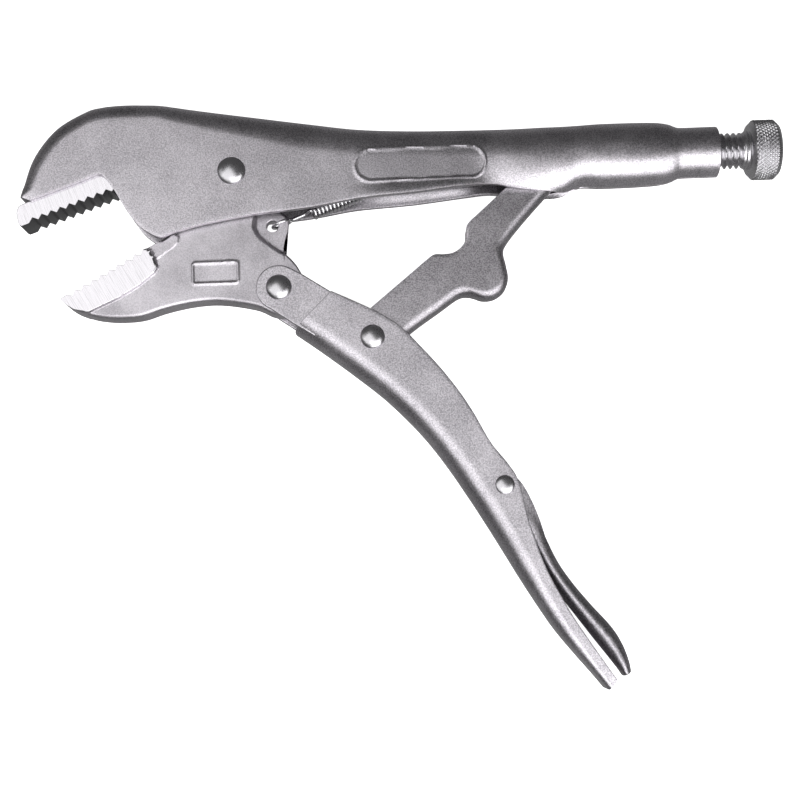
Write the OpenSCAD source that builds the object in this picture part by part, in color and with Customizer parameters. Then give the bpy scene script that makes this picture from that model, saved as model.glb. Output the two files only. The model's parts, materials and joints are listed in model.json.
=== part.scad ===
// Ten-inch locking pliers with straight serrated jaws.
//
// The tool lies on its side.  The working frame has its origin on the jaw
// pivot, x along the adjusting screw towards its head, y towards the back of
// the fixed handle, and z along the pivots, with the mid-plane at z = 0.
// stand() then moves every piece so that the origin is the bottom centre of
// the whole tool's box.

/* [Overall] */
// Length from the nose of the fixed jaw to the end of the screw head
tool_length = 252.8; // [210:0.1:304]
// Width of the jaw blocks across the tool
jaw_width = 12.7; // [10.5:0.1:15.5]
// Thickness of the sheet that the two handles are pressed from
sheet = 2.1; // [1.7:0.05:2.6]
// Outer radius of the bend along the back of the handles
bend_radius = 6.2; // [5:0.1:7]

/* [Jaws] */
// Distance between serrations
tooth_pitch = 3.2; // [2.6:0.05:3.9]
// Number of serration grooves in each jaw
tooth_count = 9; // [6:1:9]
// Thickness of the forged web of the moving jaw
web_thickness = 10.3; // [8.5:0.1:12.4]
// Thickness of the thin ear that the spring hooks into
ear_thickness = 4.4; // [3.6:0.1:5.3]
// Radius of the moving jaw's boss on the jaw pivot
boss_radius = 8; // [6.6:0.1:9.6]

/* [Linkage] */
// Width across the folded toggle link
link_width = 10; // [8.4:0.1:12]
// Thickness of the sheet of the link
link_sheet = 2.0; // [1.6:0.05:2.4]
// Thickness of the sheet of the release lever
lever_sheet = 1.5; // [1.2:0.05:1.8]

/* [Rivets] */
// Shank diameter of the jaw pivot rivet
jaw_rivet_d = 6.4; // [5.3:0.1:7.7]
// Shank diameter of the handle pivot rivet
handle_rivet_d = 5.6; // [4.6:0.1:6.8]
// Shank diameter of the link pivot rivet
link_rivet_d = 5.2; // [4.3:0.1:6.3]
// Shank diameter of the release lever rivet
lever_rivet_d = 3.4; // [2.8:0.1:4.1]
// How far a head stands out past its shank all round
head_rim = 1.4; // [1.1:0.1:1.7]
// Height of a rivet head
head_height = 2.0; // [1.6:0.1:2.4]

/* [Screw] */
// Outside diameter of the adjusting screw's thread
screw_d = 12; // [10:0.1:14.4]
// Diameter of the knurled head
knob_d = 20; // [16.6:0.1:24]
// Length of the knurled head
knob_length = 10; // [8.3:0.1:12]
// Wall of the tube that the screw runs in
tube_wall = 2.25; // [1.9:0.05:2.7]
// Bare thread between the tube and the collar of the head
bare_thread = 9; // [7.5:0.1:9.8]

/* [Spring] */
// Outside diameter of the spring's coils
spring_d = 6; // [5:0.1:7.2]
// Diameter of the spring's wire
wire_d = 1.1; // [0.9:0.05:1.3]

/* [Fits] */
// Gap on each side of the fixed jaw in the channel
jaw_gap = 0.05; // [0.02:0.01:0.1]
// Gap on each side of the web between the ears of the moving handle
ear_gap = 0.15; // [0.1:0.01:0.3]
// Gap on each side of the boss and of the lever in their channels
channel_gap = 0.3; // [0.2:0.05:0.5]
// Radial clearance of every pivot, and of the screw in its tube
pivot_gap = 0.05; // [0.03:0.01:0.08]

/* [Hidden] */
$fn = 48;

steel = [0.66, 0.65, 0.67];
bright = [0.80, 0.80, 0.82];
dark_steel = [0.48, 0.47, 0.48];

// The side outlines below are drawn for a tool of this length, and follow it
drawn_length = 252.8;
k = tool_length / drawn_length;

// Pivots, and the axis of the adjusting screw
jaw_pivot = [0, 0];
handle_pivot = k * [14.3, -39.2];
link_pivot = k * [44.2, -56.9];
lever_pivot = k * [84.7, -106.4];
screw_y = k * 2.8;
link_rest = [k * 110.5, screw_y];

// Widths across the tool that follow from each other
inner_width = jaw_width + 2 * jaw_gap;
channel_width = inner_width + 2 * sheet;
ear_inner = web_thickness + 2 * ear_gap;
ear_outer = ear_inner + 2 * sheet;
boss_width = inner_width - 2 * channel_gap;
lever_width = inner_width - 2 * channel_gap;
half = channel_width / 2;

// The screw's tube and the rounded tail of the handle around it
tube_r = screw_d / 2 + pivot_gap + tube_wall;
tail_r = tube_r + 2.3;
tail_half = tube_r + 1.3;
tube_start = k * 149.5;
tube_end = k * 161.4;
knob_end = k * -71 + tool_length;
knob_start = knob_end - knob_length;
collar_start = tube_end + bare_thread;
// Farthest that the link's end reaches while the handles close, and the room past it
link_end_radius = 5;
link_reach = k * 117.3;
tip_gap = 0.6;
screw_tip = link_reach + link_end_radius + tip_gap;

// Spring: the hole in the jaw's ear, and the tab in the handle's channel
spring_eye = k * [12.5, -17.5];
spring_tab = k * [68.5, 3.2];
hook_hole_r = wire_d / 2 + 1.5;
// The hook is wide enough to pass round the ear's edge, which is this far from the hole
ear_edge = k * 5.33;
hook_gap = 0.3;
hook_reach = ear_edge + 0.6 * wire_d + hook_gap;
hook_r = (hook_reach * hook_reach + ear_thickness * ear_thickness / 4) / (2 * hook_reach);

seam_gap = 0.25;

// --- Curves -----------------------------------------------------------------

// A point on the smooth curve through b and c, with neighbours a and d
function spline(a, b, c, d, t) = 0.5 * (2 * b + (c - a) * t
    + (2 * a - 5 * b + 4 * c - d) * t * t + (3 * b - a - 3 * c + d) * t * t * t);

// The rows of a list of points or stations, with steps values for each span
function smooth_rows(rows, steps) = [
    for (i = [0 : len(rows) - 2]) for (j = [0 : steps - 1])
        spline(rows[max(i - 1, 0)], rows[i], rows[i + 1], rows[min(i + 2, len(rows) - 1)], j / steps),
    rows[len(rows) - 1]];

// A point set off from the origin along and across a direction
function along(origin, angle, a, b) =
    origin + a * [cos(angle), sin(angle)] + b * [-sin(angle), cos(angle)];

// --- Folded sheet -----------------------------------------------------------
// A station of a channel is [spine x, spine y, edge x, edge y, half width,
// bend radius, closure]: the section runs from the spine down to the edges of
// its two walls, and closure turns it from a U at 0 to a closed ring at 1.

bend_steps = 3;
wall_steps = 3;
half_count = bend_steps + wall_steps + 2;

function u_half(depth, w, r, top) = [[top, 0],
    for (i = [0 : bend_steps]) let (a = 90 * i / bend_steps)
        [top + r * (1 - cos(a)), w - r + r * sin(a)],
    for (i = [1 : wall_steps]) [top + r + (depth - top - r) * i / wall_steps, w]];

function ring_half(depth, w, top) = [
    for (i = [0 : half_count - 1]) let (a = 180 * i / (half_count - 1))
        [depth / 2 - (depth / 2 - top) * cos(a), i == 0 ? 0 : max(w * sin(a), seam_gap)]];

function half_section(depth, w, r, closure, top) = let (
        c = min(max(closure, 0), 1),
        u = u_half(depth, w, min(r, w - 0.4, (depth - top) * 0.9), top),
        o = ring_half(depth, w, top))
    [for (i = [0 : half_count - 1]) (1 - c) * u[i] + c * o[i]];

// The closed outline of one section: outer face from wall to wall, then back inside
function section(s, t) = let (
        spine = [s[0], s[1]],
        edge = [s[2], s[3]],
        depth = norm(edge - spine),
        way = (edge - spine) / depth,
        outer = half_section(depth, s[4], s[5], s[6], 0),
        inner = half_section(depth, s[4] - t, max(s[5] - t, 0.5), s[6], t),
        last = half_count - 1)
    [for (i = [last : -1 : 1]) place_point(spine, way, outer[i], -1),
     for (i = [0 : last]) place_point(spine, way, outer[i], 1),
     for (i = [last : -1 : 1]) place_point(spine, way, inner[i], 1),
     for (i = [0 : last]) place_point(spine, way, inner[i], -1)];

function place_point(spine, way, p, side) =
    [spine.x + way.x * p.x, spine.y + way.y * p.x, side * p.y];

// Stations in the order that turns the faces outwards: the spine on the left of the way along
function facing_out(rows) = let (
        along_x = rows[1][0] - rows[0][0],
        along_y = rows[1][1] - rows[0][1],
        to_edge_x = rows[1][2] - rows[1][0],
        to_edge_y = rows[1][3] - rows[1][1])
    along_x * to_edge_y - along_y * to_edge_x < 0 ? rows : [for (i = [len(rows) - 1 : -1 : 0]) rows[i]];

module folded_sheet(rows, t) {
    stations = facing_out(rows);
    n = len(stations);
    m = 4 * half_count - 2;
    h = m / 2;
    points = [for (s = stations) each section(s, t)];
    sides = [for (i = [0 : n - 2]) for (j = [0 : m - 1]) let (q = (j + 1) % m)
        each [[i * m + j, (i + 1) * m + j, (i + 1) * m + q],
              [i * m + j, (i + 1) * m + q, i * m + q]]];
    caps = [for (j = [0 : h - 2]) let (e = (n - 1) * m)
        each [[j, j + 1, m - 2 - j], [j, m - 2 - j, m - 1 - j],
              [e + j, e + m - 2 - j, e + j + 1], [e + j, e + m - 1 - j, e + m - 2 - j]]];
    polyhedron(points, concat(sides, caps), convexity = 6);
}

// --- Placing ----------------------------------------------------------------

upper_stations = smooth_rows(upper_rows(), 2);
lower_stations = smooth_rows(lower_rows(), 2);
box_low = [k * -71, min([for (s = lower_stations) s[1]])];
box_high = [knob_end, max([for (s = upper_stations) s[1]])];
rest_height = max(half + head_height, knob_d / 2, screw_d / 2);

module stand() {
    translate([-(box_low.x + box_high.x) / 2, -(box_low.y + box_high.y) / 2, rest_height])
        children();
}

module across(width) {
    translate([0, 0, -width / 2]) linear_extrude(width) children();
}

module pin_hole(at, d) {
    translate([at.x, at.y, -30]) cylinder(d = d + 2 * pivot_gap, h = 60);
}

// --- Fixed handle -----------------------------------------------------------

function row(s, e, w, r = bend_radius, c = 0) = [k * s.x, k * s.y, k * e.x, k * e.y, w, r, c];
function tail_row(x, r, w, c) = [k * x, screw_y + r, k * x, screw_y - r - 0.3, w, w - 0.5, c];

function upper_rows() = [
    row([-69.3, -5.6], [-66.2, -6.9], half, 2.6),
    row([-68.4, -0.9], [-62.9, -5.7], half, 4.5),
    row([-65, 9], [-56.7, -3.5], half),
    row([-57.7, 17.9], [-49.5, -1.0], half),
    row([-48, 23.4], [-43.6, 1.0], half),
    row([-42.9, 24.7], [-40.6, -1.4], half),
    row([-38.5, 25.1], [-38.0, -5.4], half),
    row([-34, 25.2], [-34.3, -12.0], half),
    row([-29, 25.0], [-30, -17.4], half),
    row([-24, 24.7], [-24.2, -20.9], half),
    row([-18, 23.9], [-19.5, -19.6], half),
    row([-8, 22.2], [-10, -17.2], half),
    row([8, 19.6], [6.4, -14.6], half),
    row([26, 16.7], [25, -12.9], half),
    row([42, 14.3], [41, -10.5], half),
    row([60, 13.1], [60, -9.2], half),
    row([77, 12.7], [77, -7.5], half),
    row([86, 12.6], [86, -7.1], half + 0.1),
    row([95, 12.6], [95, -9.2], half + 0.5),
    row([105, 12.8], [105, -9.6], half + 0.9),
    row([111.5, 12.9], [111.5, -9.3], half + 1.1),
    tail_row(116.5, tail_r - 0.3, tail_half, 0.55),
    tail_row(122, tail_r, tail_half, 1),
    tail_row(132, tail_r, tail_half, 1),
    tail_row(140, tail_r - 0.2, tail_half - 0.1, 1),
    tail_row(144.5, tail_r - 0.8, tail_half - 0.5, 1),
    tail_row(147.5, tube_r + 0.3, tube_r + 0.2, 1),
    tail_row(149.5, tube_r, tube_r, 1),
    tail_row(156, tube_r, tube_r, 1),
    tail_row(161.4, tube_r, tube_r, 1)];

// A tongue lanced down from the roof of the channel, for the end of the spring
module spring_tongue() {
    width = spring_d * 0.9;
    across(sheet) polygon([
        spring_tab + [-width / 2, -width / 2], spring_tab + [width / 2, -width / 2],
        [spring_tab.x + width / 2, k * 12.9 - sheet / 2], [spring_tab.x - width / 2, k * 12.9 - sheet / 2]]);
}

module upper_handle() {
    color(steel) stand() difference() {
        union() {
            folded_sheet(upper_stations, sheet);
            spring_tongue();
            translate([tube_start, screw_y, 0]) rotate([0, 90, 0])
                cylinder(r = tube_r - 0.4, h = tube_end - tube_start);
        }
        pin_hole(jaw_pivot, jaw_rivet_d);
        translate([spring_tab.x, spring_tab.y, -half / 2]) cylinder(r = hook_hole_r, h = half);
        translate([tube_start - 1, screw_y, 0]) rotate([0, 90, 0])
            cylinder(r = screw_d / 2 + pivot_gap, h = tube_end - tube_start + 2);
    }
}

// --- Jaws -------------------------------------------------------------------

// Serrated line: a flat land, then grooves cut square, each half a pitch deep
function teeth(start, angle, land, side) = [
    start, along(start, angle, land, 0),
    for (i = [0 : tooth_count - 1]) each [
        along(start, angle, land + (i + 0.5) * tooth_pitch, side * tooth_pitch * 0.42),
        along(start, angle, land + (i + 1) * tooth_pitch, 0)]];

upper_tooth_start = k * [-69.4, -15.3];
upper_tooth_angle = 19.4;
lower_tooth_start = k * [-56.3, -39.5];
lower_tooth_angle = 29.3;
upper_land = 2.8;
lower_land = 1.6;

module upper_jaw() {
    color(bright) stand() across(jaw_width) polygon(concat(
        k * [[-70.4, -8.6], [-71, -10.6], [-70.5, -14.2]],
        teeth(upper_tooth_start, upper_tooth_angle, upper_land, 1),
        k * [[-38, -3], [-36.5, 2], [-37, 14], [-44, 15.2], [-51.5, 10.6], [-57, 4], [-60.5, -2],
            [-66, -6.9]]));
}

function web_outline() = concat(
    smooth_rows(k * [[-29, -46.3], [-23.4, -44.4], [-14.1, -42.7], [-4.9, -42.5], [6.2, -44.6],
        [13, -47.2]], 3),
    k * [[19, -47], [23.2, -41], [23, -36], [20.2, -31.4], [16, -27.4]],
    k * [[11.8, -24.9], [8.2, -22.2], [6.2, -18], [7.4, -8], [0, 7], [-7, 2], [-14, -12],
        [-21, -19.6], [-29.4, -24.3], [-31, -36]]);

// Closed outline of the moving jaw's serrated block
function block_outline() = concat(
    teeth(lower_tooth_start, lower_tooth_angle, lower_land, -1),
    k * [[-28.4, -24.2], [-26.2, -27.9], [-25.3, -30.5], [-26.3, -32.2], [-31, -36], [-37.5, -39.9],
        [-49.2, -44.8], [-52.9, -43.7], [-55.3, -41.8], [-57, -40.2]]);

// The forging's blank pad, a little proud of the web
module size_pad() {
    rounded_plate(k * [-14.4, -37.2], k * [1.6, -29.1], 1.5);
}

module rounded_plate(low, high, r) {
    translate([low.x + r, low.y]) square([high.x - low.x - 2 * r, high.y - low.y]);
    translate([low.x, low.y + r]) square([high.x - low.x, high.y - low.y - 2 * r]);
    for (x = [low.x + r, high.x - r], y = [low.y + r, high.y - r])
        translate([x, y]) circle(r = r);
}

module lower_jaw() {
    color(dark_steel) stand() difference() {
        union() {
            across(jaw_width) polygon(block_outline());
            across(web_thickness) polygon(web_outline());
            across(web_thickness) polygon(k * [[-50, -45.2], [-45, -46.3], [-38.7, -47], [-29, -46.3],
                [-28, -34], [-36, -38]]);
            across(web_thickness) translate(handle_pivot) circle(r = k * 8.8);
            across((web_thickness + jaw_width) / 2) polygon(k * [[-29.2, -24.4], [-21, -19.7],
                [-18, -22.5], [-27, -29]]);
            across(web_thickness + 0.5) size_pad();
            across(ear_thickness) polygon(k * [[6, -10], [17.5, -14.2], [17.5, -17.6], [16.7, -20.4],
                [15.8, -24.2], [16.4, -27], [10, -26], [4, -20]]);
            across(boss_width) circle(r = boss_radius);
        }
        pin_hole(jaw_pivot, jaw_rivet_d);
        pin_hole(handle_pivot, handle_rivet_d);
        translate([spring_eye.x, spring_eye.y, -jaw_width]) cylinder(r = hook_hole_r, h = 2 * jaw_width);
    }
}

// --- Moving handle ----------------------------------------------------------

function lower_rows() = [
    row([19, -53.6], [31.4, -41.6], half, bend_radius),
    row([26, -58.8], [38, -44.8], half),
    row([33.2, -64.4], [45.2, -48.6], half),
    row([40, -69.9], [53.2, -54.1], half),
    row([46.5, -75.4], [59.4, -60.8], half),
    row([52.2, -81.0], [65.4, -67.9], half),
    row([58.2, -87.6], [71.4, -76.2], half),
    row([63.3, -94.1], [75.9, -83.8], half),
    row([68.4, -101.6], [80.6, -92.9], half),
    row([72.5, -108.2], [85.8, -99.9], half),
    row([76.2, -114.3], [89, -106.0], half),
    row([82.2, -124.7], [91.6, -118.8], half),
    row([89.2, -137], [96.0, -132.8], half, 5.2),
    row([95.5, -147.4], [101, -143.4], half, 5),
    row([99.8, -153.9], [104.5, -149.9], half, 5),
    row([105.2, -160.8], [108.9, -157.0], half - 0.1, 5),
    row([110.9, -167.7], [113.8, -164.6], half - 0.5, 4.4),
    row([114.6, -172.5], [117, -169.4], half - 1.4, 3)];

// One ear: a plate round the handle pivot that runs back under the fold line
module handle_ear() {
    translate(handle_pivot) circle(r = k * 7.4);
    polygon(k * [[10.6, -45.6], [14.3, -39.2], [17.4, -32.5], [21.8, -34.9], [33, -42.4],
        [35.5, -46], [25.5, -55.6], [20.4, -52]]);
}

module lower_handle() {
    color(steel) stand() difference() {
        union() {
            folded_sheet(lower_stations, sheet);
            for (side = [-1, 1])
                translate([0, 0, side * (ear_inner + sheet) / 2]) across(sheet) handle_ear();
        }
        for (p = [[handle_pivot, handle_rivet_d], [link_pivot, link_rivet_d], [lever_pivot, lever_rivet_d]])
            pin_hole(p[0], p[1]);
    }
}

// --- Toggle link ------------------------------------------------------------

link_angle = atan2(link_rest.y - link_pivot.y, link_rest.x - link_pivot.x);
link_length = norm(link_rest - link_pivot);

// A station square to the link, from its rounded spine to its cut edges
function link_row(a, spine, edge) = let (
        s = along(link_pivot, link_angle, k * a, k * spine),
        e = along(link_pivot, link_angle, k * a, k * edge))
    [s.x, s.y, e.x, e.y, link_width / 2, min(3.4, link_width / 3), 0];

// A station of the link's end, set back from the end of its centre line
function link_end_row(back, spread) = link_row(link_length / k + back, -spread, spread);

link_rows = [
    link_row(-7.3, -2.6, 2.6), link_row(-5.6, -4.9, 4.8), link_row(-2.4, -6.3, 6.7),
    link_row(3, -6.5, 7.6), link_row(12, -6.9, 7.3), link_row(22.7, -8.4, 6.7),
    link_row(30.5, -9.6, 6.3), link_row(34, -12.2, 5.8), link_row(36.2, -16, 3.8),
    link_row(39, -18, 1.9), link_row(42.5, -18.3, 1.4), link_row(45.6, -16.6, 2.6),
    link_row(48, -13.2, 5), link_row(50.5, -9.4, 5.6), link_row(54.5, -7.5, 5.5),
    link_row(64, -6.2, 5.4), link_row(77, -5.2, 5.2), link_end_row(-3, 5),
    link_end_row(1.6, 4.6), link_end_row(4.2, 2.6)];

module toggle_link() {
    color(steel) stand() difference() {
        folded_sheet(smooth_rows(link_rows, 1), link_sheet);
        pin_hole(link_pivot, link_rivet_d);
    }
}

// --- Release lever ----------------------------------------------------------

lever_angle = atan2(lever_pivot.y - link_pivot.y, lever_pivot.x - link_pivot.x);

// A station square to the line of the handle, measured from the lever's pivot
function lever_row(a, spine, edge, narrow = 0) = let (
        s = along(lever_pivot, lever_angle, k * a, k * spine),
        e = along(lever_pivot, lever_angle, k * a, k * edge))
    [s.x, s.y, e.x, e.y, lever_width / 2 - narrow, 3.6, 0];

lever_rows = [
    lever_row(-11.5, -3.4, 0.8), lever_row(-8, -5.0, 2.4), lever_row(-3, -5.7, 3.9),
    lever_row(3, -5.9, 4.4), lever_row(9, -6.2, 3.2), lever_row(15, -6.8, 1.2),
    lever_row(22, -7.7, -1.5), lever_row(30, -8.8, -3.6), lever_row(38, -9.8, -4.5),
    lever_row(47, -10.4, -4.7), lever_row(56, -11, -4.5), lever_row(62, -11.3, -5.5),
    lever_row(67, -11.6, -7.3, 0.4), lever_row(70.6, -11.9, -9.2, 1.5)];

module release_lever() {
    color(steel) stand() difference() {
        folded_sheet(smooth_rows(lever_rows, 2), lever_sheet);
        pin_hole(lever_pivot, lever_rivet_d);
    }
}

// --- Adjusting screw --------------------------------------------------------

module adjusting_screw() {
    chamfer = 1.2;
    nose_r = screw_d / 2 - 2;
    r = screw_d / 2;
    collar_r = r + 0.5;
    color(bright) stand() translate([0, screw_y, 0]) rotate([90, 0, 90]) rotate_extrude() polygon([
        [0, screw_tip], [nose_r - 0.6, screw_tip], [nose_r, screw_tip + 0.6], [nose_r, screw_tip + 2.5],
        [r, screw_tip + 4.5], [r, collar_start], [collar_r, collar_start + 0.4], [collar_r, knob_start],
        [knob_d / 2 - chamfer, knob_start], [knob_d / 2, knob_start + chamfer],
        [knob_d / 2, knob_end - chamfer], [knob_d / 2 - chamfer, knob_end], [0, knob_end]]);
}

// --- Return spring ----------------------------------------------------------

// Close-wound body as a plain tube, with a round hook at each end
module return_spring() {
    run = spring_tab - spring_eye;
    length = norm(run);
    neck = 3.6;
    tail = 1.2;
    first = 2 * hook_r + neck;
    last = length - 2 * hook_r - tail;
    color(bright) stand() translate([spring_eye.x, spring_eye.y, 0])
        rotate([0, 0, atan2(run.y, run.x)]) {
            translate([first, 0, 0]) rotate([0, 90, 0]) difference() {
                cylinder(d = spring_d, h = last - first);
                translate([0, 0, wire_d]) cylinder(d = spring_d - 2 * wire_d, h = last - first - 2 * wire_d);
            }
            translate([2 * hook_r, 0, 0]) rotate([0, 90, 0]) cylinder(d = wire_d, h = neck);
            translate([last, 0, 0]) rotate([0, 90, 0]) cylinder(d = wire_d, h = tail);
            for (x = [hook_r, length - hook_r])
                translate([x, 0, 0]) rotate([90, 0, 0]) rotate_extrude()
                    translate([hook_r, 0]) circle(d = wire_d);
        }
}

// --- Rivets -----------------------------------------------------------------

// A shank between two domed heads that sit on the outer faces of the sheets
module rivet(at, d, grip, height) {
    rim = d / 2 + head_rim;
    dome = (rim * rim + height * height) / (2 * height);
    color(bright) stand() translate([at.x, at.y, 0]) {
        translate([0, 0, -grip / 2]) cylinder(d = d, h = grip);
        for (side = [0, 1]) mirror([0, 0, side]) translate([0, 0, grip / 2]) intersection() {
            translate([0, 0, height - dome]) sphere(r = dome, $fn = 64);
            cylinder(r = rim, h = height);
        }
    }
}

module jaw_pivot_rivet() {
    rivet(jaw_pivot, jaw_rivet_d, channel_width, head_height);
}

module handle_pivot_rivet() {
    rivet(handle_pivot, handle_rivet_d, ear_outer, head_height);
}

module link_pivot_rivet() {
    rivet(link_pivot, link_rivet_d, channel_width, head_height);
}

module lever_pivot_rivet() {
    rivet(lever_pivot, lever_rivet_d, channel_width, head_height * 0.6);
}

upper_handle();
upper_jaw();
lower_jaw();
lower_handle();
toggle_link();
release_lever();
adjusting_screw();
return_spring();
jaw_pivot_rivet();
handle_pivot_rivet();
link_pivot_rivet();
lever_pivot_rivet();
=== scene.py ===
"""Ten-inch locking pliers lying on their side: meshes, finishes, light and camera.

Shapes are worked out in millimetres in the bench frame, whose origin is the jaw pivot at
mid-thickness, with x along the adjusting screw, y towards the back of the fixed handle and z
along the pivots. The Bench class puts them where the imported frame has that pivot.
"""

from __future__ import annotations

import json
import logging
import math
from dataclasses import dataclass, field
from enum import Enum
from typing import Sequence

import bmesh
import bpy
import numpy as np
from mathutils import Matrix, Vector

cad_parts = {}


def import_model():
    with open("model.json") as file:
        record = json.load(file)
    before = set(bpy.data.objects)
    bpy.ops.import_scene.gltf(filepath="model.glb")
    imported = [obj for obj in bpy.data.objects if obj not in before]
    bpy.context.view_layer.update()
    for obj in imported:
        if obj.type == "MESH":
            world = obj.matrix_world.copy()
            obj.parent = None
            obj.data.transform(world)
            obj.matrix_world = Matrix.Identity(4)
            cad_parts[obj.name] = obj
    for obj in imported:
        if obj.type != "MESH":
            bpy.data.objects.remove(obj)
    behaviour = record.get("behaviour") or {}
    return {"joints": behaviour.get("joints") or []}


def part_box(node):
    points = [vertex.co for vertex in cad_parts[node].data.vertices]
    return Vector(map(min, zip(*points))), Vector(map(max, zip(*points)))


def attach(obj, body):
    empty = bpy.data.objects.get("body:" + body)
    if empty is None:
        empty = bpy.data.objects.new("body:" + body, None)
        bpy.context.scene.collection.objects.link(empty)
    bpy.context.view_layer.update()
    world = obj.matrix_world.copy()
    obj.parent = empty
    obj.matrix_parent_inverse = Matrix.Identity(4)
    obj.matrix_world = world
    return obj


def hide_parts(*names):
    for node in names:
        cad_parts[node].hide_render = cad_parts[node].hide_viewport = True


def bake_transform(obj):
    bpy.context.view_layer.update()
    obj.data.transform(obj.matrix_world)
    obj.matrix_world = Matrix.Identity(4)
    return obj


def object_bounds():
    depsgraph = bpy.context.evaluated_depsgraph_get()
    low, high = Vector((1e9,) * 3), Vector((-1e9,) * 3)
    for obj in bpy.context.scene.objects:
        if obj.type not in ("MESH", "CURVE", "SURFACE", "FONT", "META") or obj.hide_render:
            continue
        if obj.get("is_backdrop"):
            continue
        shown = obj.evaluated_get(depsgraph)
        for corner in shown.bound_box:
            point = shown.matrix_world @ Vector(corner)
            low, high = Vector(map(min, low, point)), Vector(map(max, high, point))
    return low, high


LOG = logging.getLogger("pliers")
MM = 0.001
SUPPORT = 0.08  # share of the way to the next ring at which a sheet's edge is held
HANDLE_PIVOT = (14.3, -39.2)
LINK_PIVOT = (44.2, -56.9)
LEVER_PIVOT = (84.7, -106.4)
SPRING_EYE = (12.5, -17.5)
SPRING_TAB = (68.5, 3.2)
Array = np.ndarray


# --- Curves and grids ---------------------------------------------------------


def spline(rows: Sequence[Sequence[float]] | Array, per_span: int) -> Array:
    """Smooth curve through rows of numbers: a uniform cubic with tangents from the neighbours.

    Args:
        rows: Control rows, each a point or a station of any length.
        per_span: Steps in each span between two rows.

    Returns:
        The rows of the curve, the last control row included.
    """
    p = np.asarray(rows, float)
    u = np.linspace(0.0, len(p) - 1.0, (len(p) - 1) * per_span + 1)
    i = np.minimum(u.astype(int), len(p) - 2)
    t = (u - i)[:, None]
    a, b, c, d = (p[np.clip(i + s, 0, len(p) - 1)] for s in (-1, 0, 1, 2))
    return 0.5 * (2 * b + (c - a) * t + (2 * a - 5 * b + 4 * c - d) * t**2
                  + (3 * b - a - 3 * c + d) * t**3)


def resample(points: Array, count: int) -> Array:
    """Points spread evenly by length along an open line.

    Args:
        points: Points of the line.
        count: How many points to return.

    Returns:
        The evenly spread points.
    """
    gaps = np.linalg.norm(np.diff(points, axis=0), axis=1)
    run = np.concatenate([[0.0], np.cumsum(gaps)])
    at = np.linspace(0.0, run[-1], count)
    return np.stack([np.interp(at, run, points[:, i]) for i in range(points.shape[1])], axis=1)


def smoothstep(low: float, high: float, x: Array) -> Array:
    """Rises smoothly from 0 at low to 1 at high."""
    t = np.clip((x - low) / (high - low), 0.0, 1.0)
    return t * t * (3.0 - 2.0 * t)


def unit(v: Array) -> Array:
    """Vectors of length one along the last axis."""
    return v / np.maximum(np.linalg.norm(v, axis=-1, keepdims=True), 1e-9)


def polygon_distance(points: Array, outline: Sequence[Sequence[float]] | Array) -> Array:
    """Signed distance to a closed outline in the plane, positive inside.

    Args:
        points: Points of any shape, ending in x and y.
        outline: Corners of the outline.

    Returns:
        The nearest distance to the outline's sides, negative outside it.
    """
    corners = np.asarray(outline, float)
    nearest = np.full(points.shape[:-1], 1e9)
    inside = np.zeros(points.shape[:-1], bool)
    x, y = points[..., 0], points[..., 1]
    for (ax, ay), (bx, by) in zip(corners, np.roll(corners, -1, axis=0)):
        ex, ey = bx - ax, by - ay
        t = np.clip(((x - ax) * ex + (y - ay) * ey) / (ex * ex + ey * ey + 1e-12), 0.0, 1.0)
        nearest = np.minimum(nearest, np.hypot(x - ax - t * ex, y - ay - t * ey))
        crosses = (ay > y) != (by > y)
        inside ^= crosses & (x < ex * (y - ay) / (ey if abs(ey) > 1e-12 else 1e-12) + ax)
    return np.where(inside, nearest, -nearest)


def squircle(count: int, power: float = 0.5) -> tuple[Array, Array]:
    """Cosine and sine of a quarter turn, squared off, for the rounding of a cut edge.

    Args:
        count: Number of values.
        power: 1 is a circle, and less is squarer.

    Returns:
        The two runs of values: the first falls from 1 to 0 as the second rises from 0 to 1.
    """
    turn = np.linspace(0.0, math.pi / 2, count)
    return np.cos(turn) ** power, np.sin(turn) ** power


# --- Meshes -------------------------------------------------------------------


@dataclass
class Surface:
    """Points and faces of one or more closed surfaces, in millimetres in the bench frame."""

    points: Array
    faces: list[tuple[int, ...]] = field(default_factory=list)

    @staticmethod
    def rings(rings: Array) -> "Surface":
        """Skin over a stack of closed rings.

        Args:
            rings: Array of rings by points by 3.

        Returns:
            The surface of quads between neighbouring rings.
        """
        n, m = rings.shape[:2]
        i = np.arange(n - 1)[:, None]
        j = np.arange(m)[None, :]
        k, q = i + 1, (j + 1) % m
        quads = np.stack([i * m + j, k * m + j, k * m + q, i * m + q], axis=-1).reshape(-1, 4)
        return Surface(rings.reshape(-1, 3), [tuple(face) for face in quads.tolist()])

    def __add__(self, other: "Surface") -> "Surface":
        """Both surfaces as one."""
        shift = len(self.points)
        moved = [tuple(v + shift for v in face) for face in other.faces]
        return Surface(np.vstack([self.points, other.points]), self.faces + moved)

    def mirrored(self) -> "Surface":
        """The surface with its mirror image on the other side of the mid-plane."""
        return self + Surface(self.points * np.array([1.0, 1.0, -1.0]), [f[::-1] for f in self.faces])


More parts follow.
